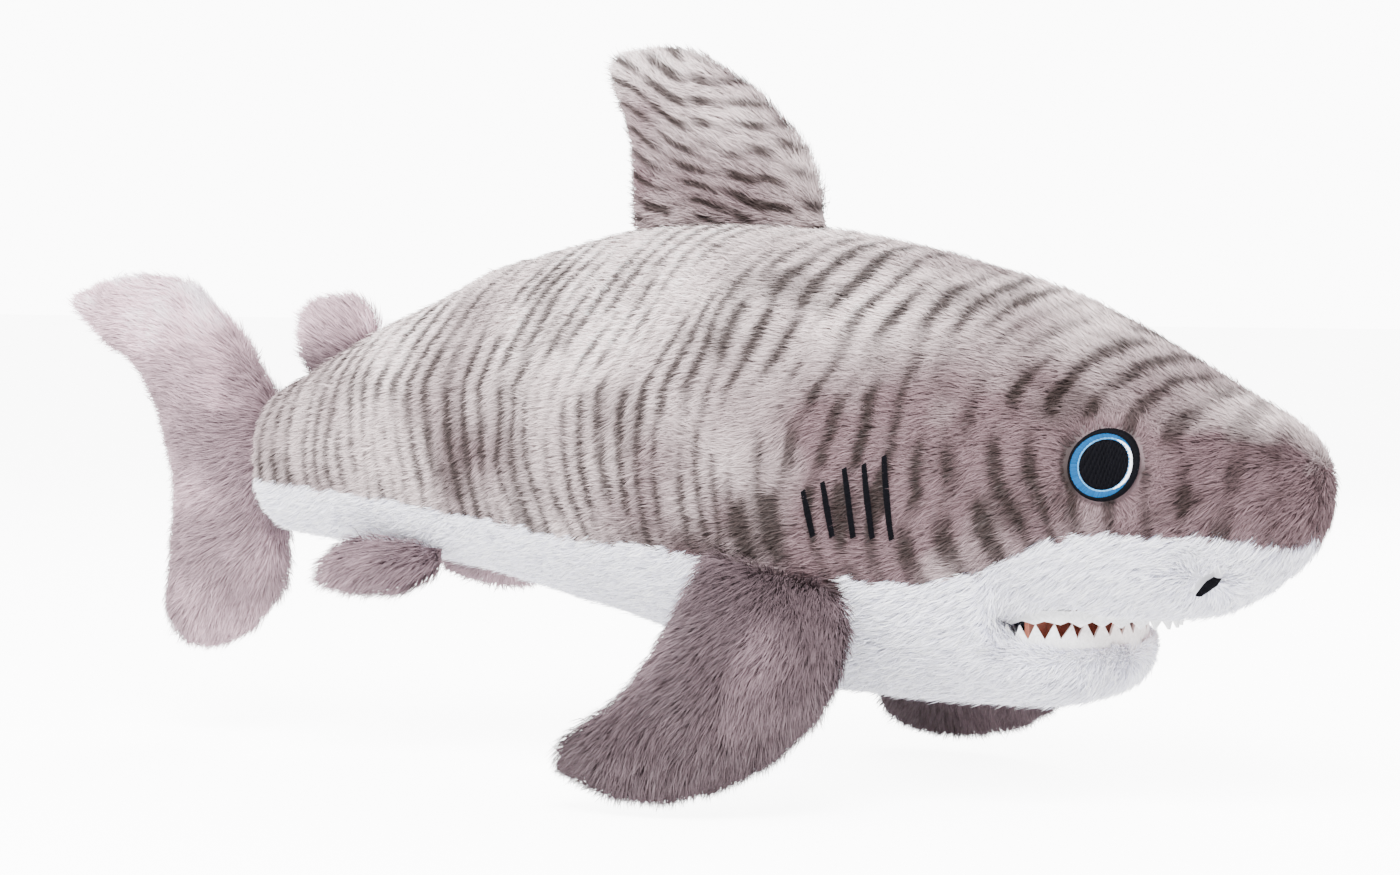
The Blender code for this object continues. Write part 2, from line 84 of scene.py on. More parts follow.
SWAY, SWAY_SIZE = 0.30, 7 * MM  # how much the pile's direction wanders
FINE_SWAY = 0.15  # how much it differs from strand to strand
BODY_SWIRL, FIN_SWIRL, FOLD_SWIRL, SWIRL_SIZE = 0.25, 0.45, 0.20, 17 * MM  # and over wider areas
STRAY = 1.1  # how much further the few stray strands stand up
SHADE_SPREAD = 0.14  # how much the strands differ in brightness
BODY_TIP_LIGHT, FIN_TIP_LIGHT = 1.12, 1.35  # how much lighter the pile is painted at its tips: painted light
BODY_SKIN_SHADE, FIN_SKIN_SHADE = 0.62, 0.60  # the skin's brightness under the pile, as a share of the pile's: painted shade under the pile

# Linear colours of the fabrics and threads, and of the painted shade at the pile's roots.
LIGHT_GROUND = np.array((0.94, 0.81, 0.80))
MAUVE_GROUND = np.array((0.165, 0.106, 0.116))
STRIPE = np.array((0.018, 0.011, 0.009))
FIN_MAUVE = np.array((0.190, 0.134, 0.150))
WHITE_PILE = np.array((0.91, 0.90, 0.97))
# Painted shade down among the pile's roots, under the striped and under the white pile.
DARK_ROOT_SHADE, PALE_ROOT_SHADE = np.array((0.55, 0.52, 0.52)), np.array((0.78, 0.79, 0.88))
BLACK_THREAD = (0.002, 0.002, 0.003)
BLUE_THREAD = (0.006, 0.055, 0.150)
PALE_BLUE_THREAD = (0.06, 0.21, 0.40)
HIGHLIGHT_THREAD = (0.86, 0.87, 0.95)
FELT_WHITE = (0.92, 0.92, 0.93)
TERRACOTTA = (0.50, 0.16, 0.10)


# ---- numpy helpers ----


class Noise:
    """Smooth value noise over space, the same in every run."""

    SIDE, STEP = 32, 0.2

    def __init__(self, seed):
        shape = (self.SIDE,) * 3
        self.table = np.random.default_rng(seed).uniform(-1, 1, shape)

    def __call__(self, points, size):
        """Values from -1 to 1 at the points, with features of about the given size."""
        scaled = points / size
        base = np.floor(scaled).astype(np.int64)
        part = scaled - base
        part = part * part * (3 - 2 * part)
        total = np.zeros(len(points))
        for corner in np.ndindex(2, 2, 2):
            index = (base + corner) % self.SIDE
            weight = np.prod(np.where(corner, part, 1 - part), axis=1)
            total += weight * self.table[index[:, 0], index[:, 1], index[:, 2]]
        return total

    def slope(self, points, size):
        """The noise's gradient, times its feature size."""
        step = size * self.STEP
        here = self(points, size)
        columns = []
        for axis in np.eye(3):
            columns.append((self(points + axis * step, size) - here) / self.STEP)
        return np.stack(columns, axis=1)


def unit(vectors):
    """Vectors scaled to length one."""
    return vectors / np.maximum(np.linalg.norm(vectors, axis=1, keepdims=True), 1e-12)


def along_skin(vectors, normals):
    """Vectors laid flat on the skin, at length one."""
    return unit(vectors - normals * np.sum(vectors * normals, axis=1, keepdims=True))


def mix(a, b, share):
    """Row-wise blend of colours or vectors, share 0 giving a and 1 giving b."""
    share = np.asarray(share)[:, None]
    return a * (1 - share) + b * share


def smoothstep(low, high, values):
    """0 below low, 1 above high, and a smooth rise between."""
    t = np.clip((values - low) / (high - low), 0, 1)
    return t * t * (3 - 2 * t)


def coordinates(mesh):
    """A mesh's vertex positions as an array."""
    flat = np.empty(len(mesh.vertices) * 3)
    mesh.vertices.foreach_get("co", flat)
    return flat.reshape(-1, 3)


def set_coordinates(mesh, points):
    """Write vertex positions back."""
    mesh.vertices.foreach_set("co", np.ascontiguousarray(points, np.float32).ravel())
    mesh.update()


def vertex_normals(mesh):
    """A mesh's smooth vertex normals as an array."""
    flat = np.empty(len(mesh.vertices) * 3, np.float32)
    mesh.vertex_normals.foreach_get("vector", flat)
    return flat.reshape(-1, 3).astype(float)


def triangles(mesh):
    """A mesh's triangles as vertex indices."""
    mesh.calc_loop_triangles()
    flat = np.empty(len(mesh.loop_triangles) * 3, np.int32)
    mesh.loop_triangles.foreach_get("vertices", flat)
    return flat.reshape(-1, 3)


def mesh_of(name, shape):
    """A new mesh with a bmesh's contents, which is freed."""
    mesh = bpy.data.meshes.new(name)
    shape.to_mesh(mesh)
    shape.free()
    return mesh


def link(name, data):
    """A new object in the scene."""
    made = bpy.data.objects.new(name, data)
    bpy.context.scene.collection.objects.link(made)
    return made


def applied(obj):
    """Replace an object's mesh by what its modifiers make of it."""
    graph = bpy.context.evaluated_depsgraph_get()
    made = bpy.data.meshes.new_from_object(obj.evaluated_get(graph))
    obj.modifiers.clear()
    obj.data = made


# ---- skins ----


def merged(meshes):
    """One bmesh holding copies of some meshes."""
    shape = bmesh.new()
    for mesh in meshes:
        shape.from_mesh(mesh)
    return shape


def node_meshes(nodes):
    """The meshes of some CAD nodes."""
    return [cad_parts[node].data for node in nodes]


def surface(meshes):
    """The surface of some meshes, ready for nearest-point and ray queries."""
    shape = merged(meshes)
    tree = BVHTree.FromBMesh(shape)
    shape.free()
    return tree


def distances(points, nodes):
    """Each point's distance to the nearest of some CAD nodes."""
    tree = surface(node_meshes(nodes))
    return np.array([tree.find_nearest(Vector(point))[3] for point in points])


def keep_largest_island(mesh):
    """Drop the small closed surfaces that a remesh leaves inside."""
    shape = merged([mesh])
    seen, islands = set(), []
    for start in shape.verts:
        if start in seen:
            continue
        island, front = [], [start]
        seen.add(start)
        while front:
            vert = front.pop()
            island.append(vert)
            for edge in vert.link_edges:
                other = edge.other_vert(vert)
                if other not in seen:
                    seen.add(other)
                    front.append(other)
        islands.append(island)
    islands.sort(key=len)
    for island in islands[:-1]:
        bmesh.ops.delete(shape, geom=island, context="VERTS")
    shape.to_mesh(mesh)
    shape.free()


def puffed(obj, held):
    """Blow the skin up by cloth pressure, capped, while the seams are held down."""
    start = coordinates(obj.data)
    seam = obj.vertex_groups.new(name="seam")
    seam.add([int(index) for index in np.nonzero(held)[0]], 1.0, "REPLACE")
    cloth = obj.modifiers.new("puff", "CLOTH")
    cloth.settings.use_pressure = True
    cloth.settings.uniform_pressure_force = PRESSURE
    cloth.settings.vertex_group_mass = "seam"
    cloth.settings.effector_weights.gravity = 0
    cloth.settings.quality = 4
    cloth.point_cache.frame_start = 1
    cloth.point_cache.frame_end = PUFF_FRAMES
    for number in range(1, PUFF_FRAMES + 1):
        bpy.context.scene.frame_set(number)
    applied(obj)
    moved = coordinates(obj.data) - start
    far = np.linalg.norm(moved, axis=1, keepdims=True)
    set_coordinates(obj.data, start + moved * np.minimum(1, PUFF_CAP / np.maximum(far, 1e-9)))
    bpy.context.scene.frame_set(1)


def fabric_skin(name, nodes, voxel, seam_pairs, reshape):
    """A closed, smooth skin around some CAD nodes, reshaped, held at its seams and puffed."""
    skin = link(name, mesh_of(name, merged(node_meshes(nodes))))
    remesh = skin.modifiers.new("remesh", "REMESH")
    remesh.mode = "VOXEL"
    remesh.voxel_size = voxel
    applied(skin)
    keep_largest_island(skin.data)
    smooth = skin.modifiers.new("smooth", "SMOOTH")
    smooth.factor = 0.5
    smooth.iterations = SMOOTHING
    applied(skin)
    points = coordinates(skin.data)
    held = np.zeros(len(points), bool)
    for one, other in seam_pairs:
        held |= np.abs(distances(points, one) - distances(points, other)) < SEAM_HALF_WIDTH
    normals = vertex_normals(skin.data)
    points = points - normals * SHRINK + normals * (LUMP * LUMP_NOISE(points, LUMP_SIZE))[:, None]
    set_coordinates(skin.data, reshape(points))
    puffed(skin, held)
    finer = skin.modifiers.new("finer", "SUBSURF")
    finer.levels = 1
    applied(skin)
    skin.data.shade_smooth()
    return skin


# ---- pile ----

LUMP_NOISE, CLUMP_NOISE, TINT_NOISE = Noise(10), Noise(11), Noise(31)
SWAY_NOISES = [Noise(21), Noise(22), Noise(23)]


class Roots:
    """Points spread evenly over a skin, with the skin's normal and its vertex fields at each."""

    def __init__(self, skin, density, seed, fields):
        random = np.random.default_rng(seed)
        mesh = skin.data
        corner_index = triangles(mesh)
        corners = coordinates(mesh)[corner_index]
        cross = np.cross(corners[:, 1] - corners[:, 0], corners[:, 2] - corners[:, 0])
        reach = np.cumsum(np.linalg.norm(cross, axis=1) / 2)
        count = int(reach[-1] / MM**2 * density)
        picks = (np.arange(count) + random.random(count)) / count * reach[-1]
        face = np.minimum(np.searchsorted(reach, picks), len(reach) - 1)
        first, second = np.sqrt(random.random(count)), random.random(count)
        weights = np.stack([1 - first, first * (1 - second), first * second], axis=1)
        self.points = (corners[face] * weights[:, :, None]).sum(axis=1)
        normals = vertex_normals(mesh)[corner_index][face]
        self.normals = unit((normals * weights[:, :, None]).sum(axis=1))
        self.fields = {}
        for name, values in fields.items():
            self.fields[name] = (values[corner_index][face] * weights).sum(axis=1)

    def only(self, keep):
        """Keep some of the roots."""
        self.points = self.points[keep]
        self.normals = self.normals[keep]
        for name in self.fields:
            self.fields[name] = self.fields[name][keep]
        return self


def wander(points, size):
    """A smooth random direction at each point."""
    return np.stack([noise(points, size) for noise in SWAY_NOISES], axis=1)


def strands(roots, lay, length, lift, swirl, seed):
    """Vertices of tapered, bent ribbons: (strand, point, xyz), two at the root, two midway and a tip."""
    random = np.random.default_rng(seed)
    points, normals = roots.points, roots.normals
    count = len(points)
    sway = SWAY * wander(points, SWAY_SIZE) + swirl * wander(points, SWIRL_SIZE)
    fine = random.normal(0, FINE_SWAY, (count, 3))
    flow = along_skin(lay + sway + fine, normals)
    size = (length * random.uniform(*LENGTHS, count))[:, None]
    stray = STRAY * random.random(count) ** 7
    rise = (lift * (random.uniform(*LIFTS, count) + stray))[:, None]
    slope = CLUMP_NOISE.slope(points, TUFT_SIZE)
    gather = along_skin(slope, normals) * GATHER
    middle = points + size * 0.5 * (flow * np.cos(rise) + normals * np.sin(rise)) + gather * 0.5
    low = rise * TIP_LIFT
    tip = middle + size * 0.5 * (flow * np.cos(low) + normals * np.sin(low)) + gather
    roll = random.uniform(-ROLL, ROLL, count)[:, None]
    side = unit(np.cross(normals, flow)) * np.cos(roll) + normals * np.sin(roll)
    half = side * (STRAND_WIDTH * random.uniform(*WIDTHS, count) / 2)[:, None]
    base = points - normals * ROOT_DEPTH
    rings = [base - half, base + half, middle - half * 0.8, middle + half * 0.8, tip]
    return np.stack(rings, axis=1)


def strip_faces(rings, across, pointed):
    """Triangles over rings of points, with a last single point where the strip is pointed."""
    faces = []
    for ring in range(rings - 1):
        for place in range(across - 1):
            low = ring * across + place
            faces.append((low, low + 1, low + across + 1))
            faces.append((low, low + across + 1, low + across))
    if pointed:
        for place in range(across - 1):
            low = (rings - 1) * across + place
            faces.append((low, low + 1, rings * across))
    return np.array(faces)


def strips(name, points, colours, rings, across, pointed, material):
    """One mesh of many strips, coloured at each vertex, with a small UV cell for each strip."""
    count, size = points.shape[0], points.shape[1]
    pattern = strip_faces(rings, across, pointed)
    faces = (pattern[None] + (np.arange(count) * size)[:, None, None]).reshape(-1, 3)
    mesh = bpy.data.meshes.new(name)
    mesh.vertices.add(count * size)
    mesh.vertices.foreach_set("co", points.astype(np.float32).ravel())
    mesh.loops.add(len(faces) * 3)
    mesh.loops.foreach_set("vertex_index", faces.astype(np.int32).ravel())
    mesh.polygons.add(len(faces))
    mesh.polygons.foreach_set("loop_start", np.arange(len(faces), dtype=np.int32) * 3)
    mesh.update(calc_edges=True)
    mesh.shade_smooth()
    paint(mesh, colours.reshape(-1, 3))
    place = np.arange(rings * across)
    u_share = 0.15 + 0.7 * (place % across) / (across - 1)
    v_share = 0.15 + 0.7 * (place // across) / (rings if pointed else rings - 1)
    if pointed:
        u_share, v_share = np.append(u_share, 0.5), np.append(v_share, 0.85)
    cells = math.ceil(math.sqrt(count))
    column, row = np.arange(count) % cells, np.arange(count) // cells
    spots = np.stack([column[:, None] + u_share, row[:, None] + v_share], axis=2) / cells
    layer = mesh.uv_layers.new(name="OFBake")
    layer.data.foreach_set("uv", spots.reshape(-1, 2)[faces.ravel()].astype(np.float32).ravel())
    mesh.materials.append(material)
    return link(name, mesh)


def paint(mesh, colours):
    """Write a colour for each vertex, which the materials read."""
    tint = mesh.attributes.new("tint", "FLOAT_COLOR", "POINT")
    solid = np.ones((len(colours), 4), np.float32)
    solid[:, :3] = colours
    tint.data.foreach_set("color", solid.ravel())


def pile(name, roots, lay, length, lift, swirl, colour, root_shade, tip_light, body, seed):
    """Grow pile on some roots, printed where each part of it lies, with painted shade towards the roots
    and painted light at the tips, in pieces riding on a body.
    """
    random = np.random.default_rng(seed + 1)
    points = strands(roots, lay, length, lift, swirl, seed)
    bright = (1 + random.normal(0, SHADE_SPREAD, len(points)))[:, None]
    # Painted shade: each strand is darker towards its root.
    root = colour(roots.points) * bright * root_shade
    middle = colour(points[:, 2]) * bright * (0.5 * root_shade + 0.5)
    # Painted light: each strand is lighter at its tip.
    tip = colour(points[:, 4]) * bright * tip_light
    colours = np.clip(np.stack([root, root, middle, middle, tip], axis=1), 0, 0.97)
    total = math.ceil(len(points) / STRANDS_PER_PIECE)
    for number in range(total):
        label = f"{name}_{number + 1}" if total > 1 else name
        part = slice(number, None, total)
        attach(strips(label, points[part], colours[part], 2, 2, True, PILE_MATERIAL), body)


# ---- colour ----

BEND_NOISE, PATCH_NOISE, BLOTCH_NOISE, GROUND_NOISE = Noise(41), Noise(42), Noise(43), Noise(44)
FINE_PITCH, WIDE_PITCH, DORSAL_PITCH = 5.8 * MM, 8.4 * MM, 5.6 * MM
FINE_TURN, WIDE_TURN, DORSAL_TURN = 0.08, 0.22, 0.30  # how freely the stripes turn, in radians
STRIPE_WAVES = 8  # waves that add up to stripes that wander and fork
STRIPE_COVER = 0.92  # how much of the ground a full stripe hides
HIGH_LEAN, LOW_LEAN, DORSAL_LEAN = 0.42, 0.12, 0.12  # slopes of the stripes
SIDE_SHIFT = 40 * MM  # makes the print differ between the two sides

# Where the print changes on the body, each from a start to an end along it (X) or up it (Z). SNOUT_X and
# SNOUT_Z also bound a painted highlight, and LOW_Z a painted shade.
TAIL_X, REAR_X, FRONT_X = (-190 * MM, -130 * MM), (-150 * MM, -30 * MM), (-95 * MM, 20 * MM)
WIDE_X, HEAD_X, CHEEK_X = (-75 * MM, 0), (5 * MM, 60 * MM), (40 * MM, 60 * MM)
NOSE_X, SNOUT_X, SNOUT_Z = (86 * MM, 103 * MM), (66 * MM, 94 * MM), (50 * MM, 79 * MM)
RIDGE_Z, HEM_Z, LOW_Z = (90 * MM, 112 * MM), (66 * MM, 44 * MM), (102 * MM, 60 * MM)
DORSAL_TIP_X, DORSAL_TIP_Z = (-75 * MM, -95 * MM), (176 * MM, 190 * MM)
DORSAL_BASE_Z = (150 * MM, 126 * MM)


def two_scales(noise, points, coarse, fine, share):
    """A noise's coarse features, with a share of finer ones on top."""
    return noise(points, coarse) + share * noise(points, fine)


def wandering_stripes(u, v, pitch, turn, seed):
    """Stripes across u that wander and fork: their phase from -1 to 1, and 0 where one ends."""
    random = np.random.default_rng(seed)
    total = np.zeros(len(u), complex)
    for _ in range(STRIPE_WAVES):
        angle, rate = random.normal(0, turn), 2 * math.pi / pitch * random.normal(1, 0.12)
        phase = rate * (u * math.cos(angle) + v * math.sin(angle)) + random.uniform(0, 2 * math.pi)
        total += np.exp(1j * phase)
    return np.cos(np.angle(total)), smoothstep(0.25, 0.9, np.abs(total) / math.sqrt(STRIPE_WAVES))


def printed(wave, whole, patchy, full, ragged):
    """How dark a stripe's wave prints: ragged along its edges, and paler where the stripe ends."""
    return smoothstep(-0.05, full, wave + ragged * patchy) * (0.35 + 0.65 * whole)


def body_wave(points):
    """The body's stripes: their wave from -1 to 1, and 0 where one ends. Fine behind, wide in front."""
    x, y, z = points.T
    bend = 4 * MM * BEND_NOISE(points, 40 * MM) + 1.2 * MM * BEND_NOISE(points, 14 * MM)
    lean = HIGH_LEAN * np.maximum(z - 78 * MM, 0) + LOW_LEAN * np.maximum(60 * MM - z, 0)
    u, v = x - lean + bend, z + SIDE_SHIFT * np.sign(y)
    fine, fine_end = wandering_stripes(u, v, FINE_PITCH, FINE_TURN, 51)
    wide, wide_end = wandering_stripes(u, v, WIDE_PITCH, WIDE_TURN, 52)
    forward = smoothstep(*WIDE_X, x + 24 * MM * PATCH_NOISE(points, 30 * MM))
    return fine * (1 - forward) + wide * forward, fine_end * (1 - forward) + wide_end * forward


def blotches(points):
    """Soft dark patches in the print, stronger on the head, along the ridge and near the hem."""
    x, z = points[:, 0], points[:, 2]
    patches = smoothstep(0.15, 0.9, two_scales(BLOTCH_NOISE, points, 13 * MM, 5 * MM, 0.4))
    amount = 0.34 + 0.22 * smoothstep(*HEAD_X, x) + 0.25 * smoothstep(*RIDGE_Z, z)
    return patches * (amount + 0.38 * smoothstep(*HEM_Z, z))


def body_stripes(points):
    """How dark the print is on the body, from 0 to 1, fainter on the snout's top, partly in print and
    partly as a painted highlight.
    """
    x = points[:, 0]
    wave, whole = body_wave(points)
    patchy = two_scales(PATCH_NOISE, points, 15 * MM, 6 * MM, 0.5)
    strength = 0.90 + 0.10 * smoothstep(*TAIL_X, x) - 0.10 * smoothstep(*HEAD_X, x)
    strength *= 1 - 0.30 * smoothstep(0.2, 0.7, -patchy)
    strength *= 1 - 0.85 * smoothstep(*NOSE_X, x)
    dark = printed(wave, whole, patchy, 0.50, 0.50) * strength + blotches(points)
    # Stripes fainter on the snout's top: partly the print, partly a painted highlight.
    return np.clip(dark, 0, 1) * (1 - 0.45 * snout_top_pale_and_lit(points))


def snout_top_pale_and_lit(points):
    """1 on the top of the snout, 0 away from it, with a patchy edge; the ground there is paler, partly in
    print and partly as a painted highlight.
    """
    ragged = 11 * MM * BLOTCH_NOISE(points, 11 * MM) + 5 * MM * PATCH_NOISE(points, 4 * MM)
    return smoothstep(*SNOUT_X, points[:, 0]) * smoothstep(*SNOUT_Z, points[:, 2] + ragged)


def body_ground(points):
    """How mauve, rather than near white, the ground between the stripes is, from 0 to 1; deeper down the
    lower flank, partly in print and partly as painted shade, and paler on the snout's top.
    """
    x, z = points[:, 0], points[:, 2]
    drift = 0.55 * GROUND_NOISE(points, 32 * MM) + 0.2 * GROUND_NOISE(points, 12 * MM)
    drift *= 1 - 0.5 * smoothstep(*CHEEK_X, x)
    # Deeper mauve down the lower flank: partly the print, partly painted shade on the side turned from the
    # light.
    low = smoothstep(*LOW_Z, z) * (0.50 + 0.50 * smoothstep(*REAR_X, x))
    mauve = 0.14 + 0.50 * smoothstep(*FRONT_X, x) + 0.60 * low
    # Paler on the snout's top: partly the print, partly a painted highlight.
    return np.clip(mauve - 0.95 * snout_top_pale_and_lit(points) + drift, 0, 1)


def body_colour(points):
    """The striped fabric's colour on the body, its mauve low on the flanks partly painted shade and its
    paleness on the snout's top partly a painted highlight.
    """
    ground = mix(LIGHT_GROUND, MAUVE_GROUND, body_ground(points))
    return mix(ground, STRIPE, body_stripes(points) * STRIPE_COVER)


def dorsal_colour(points):
    """The striped fabric on the dorsal fin, its streaks running along the fin's width."""
    x, z = points[:, 0], points[:, 2]
    u = z + DORSAL_LEAN * (x + 65 * MM) + 5 * MM * BEND_NOISE(points, 24 * MM)
    wave, whole = wandering_stripes(u, x, DORSAL_PITCH, DORSAL_TURN, 53)
    patchy = two_scales(PATCH_NOISE, points, 12 * MM, 5 * MM, 0.5)
    tip = smoothstep(*DORSAL_TIP_Z, z) * smoothstep(*DORSAL_TIP_X, x)
    mauve = 0.56 + 0.3 * smoothstep(*DORSAL_BASE_Z, z) + 0.5 * tip + 0.5 * GROUND_NOISE(points, 15 * MM)
    ground = mix(LIGHT_GROUND, MAUVE_GROUND, np.clip(mauve, 0, 1))
    return mix(ground, STRIPE, printed(wave, whole, patchy, 0.65, 0.55) * STRIPE_COVER)


def white_colour(points):
    """The white pile, a little greyer in some places than in others."""
    return WHITE_PILE * (0.98 - 0.02 * TINT_NOISE(points, 15 * MM))[:, None]


def mauve_colour(low_tone, high_tone, low, high):
    """The fins' solid pile: its tone changes between two heights (mm) and in soft lighter patches, partly
    the fabric's uneven tone and partly painted sheen.
    """

    def colour(points):
        tone = low_tone + (high_tone - low_tone) * smoothstep(low * MM, high * MM, points[:, 2])
        # Soft lighter patches: partly the fabric's uneven tone, partly painted sheen where the pile turns.
        patches = smoothstep(-0.2, 0.9, two_scales(TINT_NOISE, points, 15 * MM, 5 * MM, 0.4))
        return np.minimum(FIN_MAUVE * (tone * (0.85 + 0.75 * patches))[:, None], 0.95)

    return colour


# ---- materials ----


def node_material(name):
    """An empty node material: its nodes, its links and its Principled shader."""
    made = bpy.data.materials.new(name)
    made.use_nodes = True
    tree = made.node_tree
    return made, tree.nodes, tree.links, tree.nodes["Principled BSDF"]


def set_inputs(node, values):
    """Set a node's inputs by name."""
    for name, value in values.items():
        node.inputs[name].default_value = value


def tinted_material(name, specular):
    """A fibre or thread coloured by its own tint."""
    made, nodes, links, shader = node_material(name)
    tint = nodes.new("ShaderNodeAttribute")
    tint.attribute_name = "tint"
    links.new(tint.outputs["Color"], shader.inputs["Base Color"])
    set_inputs(shader, {"Roughness": 0.5, "Specular IOR Level": specular})
    return made


def felt_material(name, colour, grain):
    """Pressed or brushed fabric: a mottled colour and a fibrous bump of the given grain, darker where the
    bump sinks, partly the fabric's mottle and partly painted shade in its hollows.
    """
    made, nodes, links, shader = node_material(name)
    place = nodes.new("ShaderNodeTexCoord")
    noise = nodes.new("ShaderNodeTexNoise")
    set_inputs(noise, {"Scale": 1 / grain, "Detail": 6, "Distortion": 1.5})
    links.new(place.outputs["Object"], noise.inputs["Vector"])
    ramp = nodes.new("ShaderNodeValToRGB")
    # The darker stop falls where the bump sinks: partly mottle, partly painted shade in the hollows.
    for stop, (position, share) in zip(ramp.color_ramp.elements, ((0.3, 0.72), (0.7, 1))):
        stop.position = position
        stop.color = (*(channel * share for channel in colour), 1)
    links.new(noise.outputs["Fac"], ramp.inputs["Fac"])
    links.new(ramp.outputs["Color"], shader.inputs["Base Color"])
    bump = nodes.new("ShaderNodeBump")
    set_inputs(bump, {"Strength": 0.5, "Distance": 0.3 * MM})
    links.new(noise.outputs["Fac"], bump.inputs["Height"])
    links.new(bump.outputs["Normal"], shader.inputs["Normal"])
    set_inputs(shader, {"Roughness": 0.9, "Sheen Weight": 0.3})
    return made


PILE_MATERIAL = tinted_material("pile", 0.16)
THREAD_MATERIAL = tinted_material("satin_thread", 0.02)


# ---- body ----

STRIPED_NODES = ["back_panel_left", "back_panel_right"]
WHITE_NODES = ["belly_panel", "muzzle_panel"]
NOSE_TIP = np.array((114, 0, 72)) * MM
MOUTH_CORNER_X, MOUTH_MIDDLE_Z = 35 * MM, 19.5 * MM
UPPER_CLOSING, LOWER_CLOSING = 3.4 * MM, 1.0 * MM  # how far the lips close on the mouth
UPPER_CORNER, LOWER_CORNER = 2.4 * MM, 2.0 * MM  # and how much further at its corners
UPPER_REACH, LOWER_REACH = 28.5 * MM, 17.0 * MM  # how far forward from its corners it has no pile
MOUTH_HALF_WIDTH, MOUTH_FLOOR_Z, MOUTH_ROOF_Z = 30 * MM, 14 * MM, 27 * MM
BAR_GAP, FIN_GAP = 1.0 * MM, 1.6 * MM  # no pile nearer to a stitched bar or a fin than this
HEM_UNDER_FIN = 5 * MM  # the striped fabric goes on this far round the top of a pectoral fin

# The full top of the snout: centre, radius, and how far and which way it stands out.
CROWN, CROWN_RADIUS = np.array((100, 0, 72)) * MM, 30 * MM
CROWN_PUSH = np.array((3.0, 0, 2.4)) * MM
NOSE_HEM, NOSE_HEM_X = 8 * MM, (92 * MM, 110 * MM)  # the striped fabric reaches further down in front
SIDE_MARGIN = 8 * MM  # nothing is stitched nearer to the middle than this

# Ways the white pile is brushed round the mouth, for the left side.
CHIN_LAY, JAW_LIP_LAY, SNOUT_LIP_LAY = (-0.6, 0.35, -0.5), (-0.3, 0.6, 0.4), (-0.35, 0.3, -0.9)

# Places where stitching pulls the fabric in: centre (x, z), radius and depth, on both sides.
DENTS = (
    ((62.5, 61.5), 17, 1.6),
    ((-19, 62), 13, 3.0),
    ((-2, 50), 20, 1.4),
    ((81, 34), 11, 1.8),
    ((27, 21), 14, 2.5),
)


def node_plan(node):
    """A CAD node's points along X and up, ignoring the depth."""
    return coordinates(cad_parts[node].data)[:, (0, 2)]


def bar_ends(node):
    """The two ends of a long thin CAD node, along X and up, the upper one first."""
    plan = node_plan(node)
    centre = plan.mean(axis=0)
    axis = np.linalg.svd(plan - centre)[2][0]
    axis = axis if axis[1] > 0 else -axis
    reach = (plan - centre) @ axis
    return centre + axis * reach.max(), centre + axis * reach.min()


EYE_PLAN = node_plan("eye_right")
EYE_CENTRE = (EYE_PLAN.min(axis=0) + EYE_PLAN.max(axis=0)) / 2
EYE_INSET = 0.94  # the thread ends add the rest
EYE_RADIUS = np.ptp(EYE_PLAN[:, 0]) / 2 * EYE_INSET
GILLS = [bar_ends(f"gill_slit_right_{number}") for number in range(1, 6)]
NOSTRIL = bar_ends("nostril_right")


def flat_distance(points, centre):
    """Distance from a place on the shark's side, seen straight from that side."""
    return np.hypot(points[:, 0] - centre[0], points[:, 2] - centre[1])


def bar_distance(points, ends):
    """Distance from a bar on the shark's side, seen straight from that side."""
    top, foot = ends
    along = (foot - top) / np.linalg.norm(foot - top)
    offset = points[:, (0, 2)] - top
    reach = np.clip(offset @ along, 0, np.linalg.norm(foot - top))
    return np.linalg.norm(offset - reach[:, None] * along, axis=1)


def body_shape(points):
    """The body's dents, its full snout, and lips that close towards the corners of the mouth."""
    points = points.copy()
    for (x, z), radius, depth in DENTS:
        near = smoothstep(radius * MM, 0, flat_distance(points, (x * MM, z * MM)))
        off_middle = smoothstep(0, 20 * MM, np.abs(points[:, 1]))
        points[:, 1] -= np.sign(points[:, 1]) * near * depth * MM * off_middle
    crown = smoothstep(CROWN_RADIUS, 0, np.linalg.norm(points - CROWN, axis=1))
    points += crown[:, None] * CROWN_PUSH
    lip = smoothstep(MOUTH_CORNER_X - 6 * MM, MOUTH_CORNER_X, points[:, 0])
    corner = smoothstep(MOUTH_CORNER_X + 12 * MM, MOUTH_CORNER_X, points[:, 0])
    height = points[:, 2] - MOUTH_MIDDLE_Z
    over_jaw = smoothstep(MOUTH_CORNER_X + 32 * MM, MOUTH_CORNER_X + 20 * MM, points[:, 0])
    upper = smoothstep(17 * MM, 6 * MM, height) * (height > 0) * over_jaw
    lower = smoothstep(-9 * MM, -3 * MM, height) * (height <= 0)
    points[:, 2] -= lip * upper * (UPPER_CLOSING + UPPER_CORNER * corner)
    points[:, 2] += lip * lower * (LOWER_CLOSING + LOWER_CORNER * corner)
    return points


def lay_round_mouth(lay, points, white):
    """The lay with the white pile brushed down the chin and off the lips."""
    x, y, z = points.T
    near_mouth = smoothstep(MOUTH_CORNER_X - 10 * MM, MOUTH_CORNER_X, x) * white
    chin = smoothstep(16 * MM, 9 * MM, z)
    jaw_lip = smoothstep(9 * MM, 16 * MM, z) * (z < MOUTH_MIDDLE_Z)
    snout_lip = smoothstep(30 * MM, 24 * MM, z) * (z >= MOUTH_MIDDLE_Z)
    for share, way in ((chin, CHIN_LAY), (jaw_lip, JAW_LIP_LAY), (snout_lip, SNOUT_LIP_LAY)):
        brushed = np.tile(way, (len(points), 1))
        brushed[:, 1] *= np.sign(y)
        lay = mix(lay, brushed, near_mouth * share * 0.85)
    return lay


